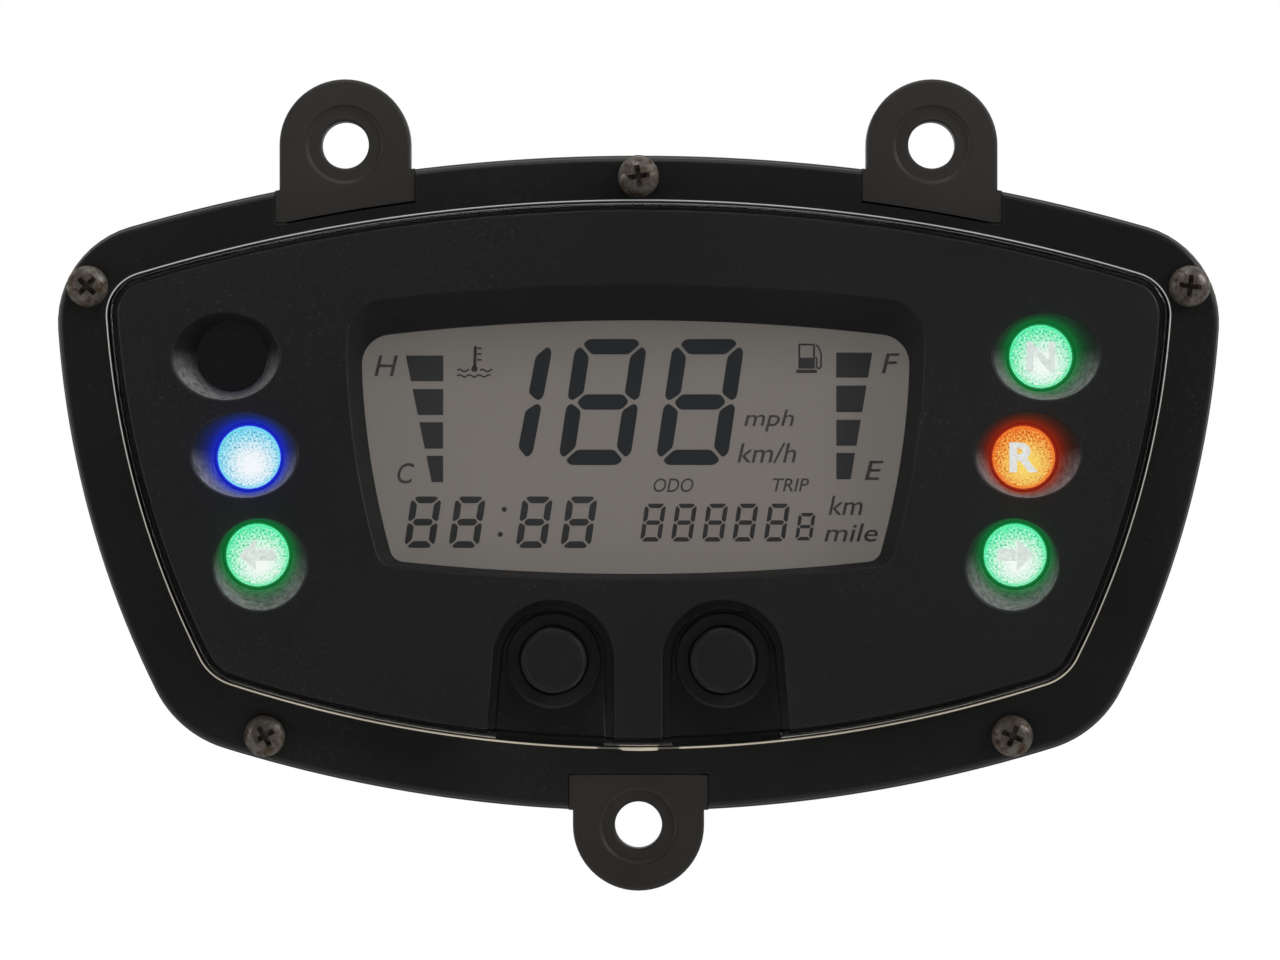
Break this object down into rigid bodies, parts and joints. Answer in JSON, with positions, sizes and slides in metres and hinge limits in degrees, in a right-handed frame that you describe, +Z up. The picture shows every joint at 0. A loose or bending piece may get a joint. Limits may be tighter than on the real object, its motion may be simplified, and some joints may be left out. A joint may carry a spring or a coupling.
{
  "type": "instrument cluster",
  "caption": "Motorcycle or quad bike instrument cluster: a fan-shaped clear lens over an LCD speedometer, tell-tale lamps and push buttons, in a black case with bolt ears.",
  "frame": {"origin": "on the plane of the three ears' backs, midway in height between the upper ear holes and the lower one", "axes": "+Z up the display, +X to the reader's right, +Y to the back; the face looks along -Y"},
  "size_m": [0.1632, 0.036, 0.1138],
  "materials": {
    "case_plastic": "moulded black plastic with a fine satin texture",
    "bezel_plastic": "smooth satin black moulding",
    "mask_plastic": "black moulding with a fine spark-eroded texture",
    "clear_plastic": "polished clear polycarbonate",
    "black_rubber": "soft black silicone rubber",
    "screw_steel": "plated steel, dulled and slightly rusted",
    "lcd_glass": "reflective grey display glass",
    "lamp_blue": "translucent blue film, lit",
    "lamp_green": "translucent green film, lit",
    "lamp_red": "translucent red film, lit",
    "lamp_dark": "smoked film, unlit",
    "white_plastic": "white reflective moulding",
    "board_green": "green solder mask",
    "pin_brass": "tin-flashed brass",
    "chip_black": "moulded black resin",
    "capacitor_foil": "bare aluminium can"
  },
  "bodies": {
    "housing": {"rear_case": "case_plastic", "front_bezel": "bezel_plastic", "clear_lens": "clear_plastic", "light_guide": "clear_plastic", "dial_mask": "mask_plastic", "lens_seal": "black_rubber", "left_button_boot": "black_rubber", "right_button_boot": "black_rubber", "upper_contact_strip": "black_rubber", "lower_contact_strip": "black_rubber", "lcd_panel": "lcd_glass", "lcd_frame": "white_plastic", "left_light_box": "white_plastic", "right_light_box": "white_plastic", "left_backlight_led": "white_plastic", "right_backlight_led": "white_plastic", "spare_led": "white_plastic", "high_beam_led": "white_plastic", "turn_left_led": "white_plastic", "neutral_led": "white_plastic", "reverse_led": "white_plastic", "turn_right_led": "white_plastic", "spare_lamp_disc": "lamp_dark", "high_beam_lamp_disc": "lamp_blue", "turn_left_lamp_disc": "lamp_green", "neutral_lamp_disc": "lamp_green", "turn_right_lamp_disc": "lamp_green", "reverse_lamp_disc": "lamp_red", "circuit_board": "board_green", "microcontroller": "chip_black", "voltage_regulator": "chip_black", "connector_shell": "chip_black", "left_switch_body": "chip_black", "right_switch_body": "chip_black", "main_capacitor": "capacitor_foil", "filter_capacitor": "capacitor_foil", "connector_pin_01": "pin_brass", "connector_pin_02": "pin_brass", "connector_pin_03": "pin_brass", "connector_pin_04": "pin_brass", "connector_pin_05": "pin_brass", "connector_pin_06": "pin_brass", "connector_pin_07": "pin_brass", "connector_pin_08": "pin_brass", "connector_pin_09": "pin_brass", "connector_pin_10": "pin_brass", "top_case_screw": "screw_steel", "upper_left_case_screw": "screw_steel", "upper_right_case_screw": "screw_steel", "lower_left_case_screw": "screw_steel", "lower_right_case_screw": "screw_steel", "upper_left_board_screw": "screw_steel", "upper_right_board_screw": "screw_steel", "lower_left_board_screw": "screw_steel", "lower_right_board_screw": "screw_steel"},
    "left_button": {"left_button_cap": "black_rubber", "left_switch_stem": "white_plastic"},
    "right_button": {"right_button_cap": "black_rubber", "right_switch_stem": "white_plastic"}
  },
  "joints": [
    {"name": "left_button_press", "type": "slide", "parent": "housing", "child": "left_button", "axis": [0, 1, 0], "range_m": [0, 0.0008], "stiffness_N_per_m": 2500, "springref_m": -0.0002},
    {"name": "right_button_press", "type": "slide", "parent": "housing", "child": "right_button", "axis": [0, 1, 0], "range_m": [0, 0.0008], "stiffness_N_per_m": 2500, "springref_m": -0.0002}
  ]
}
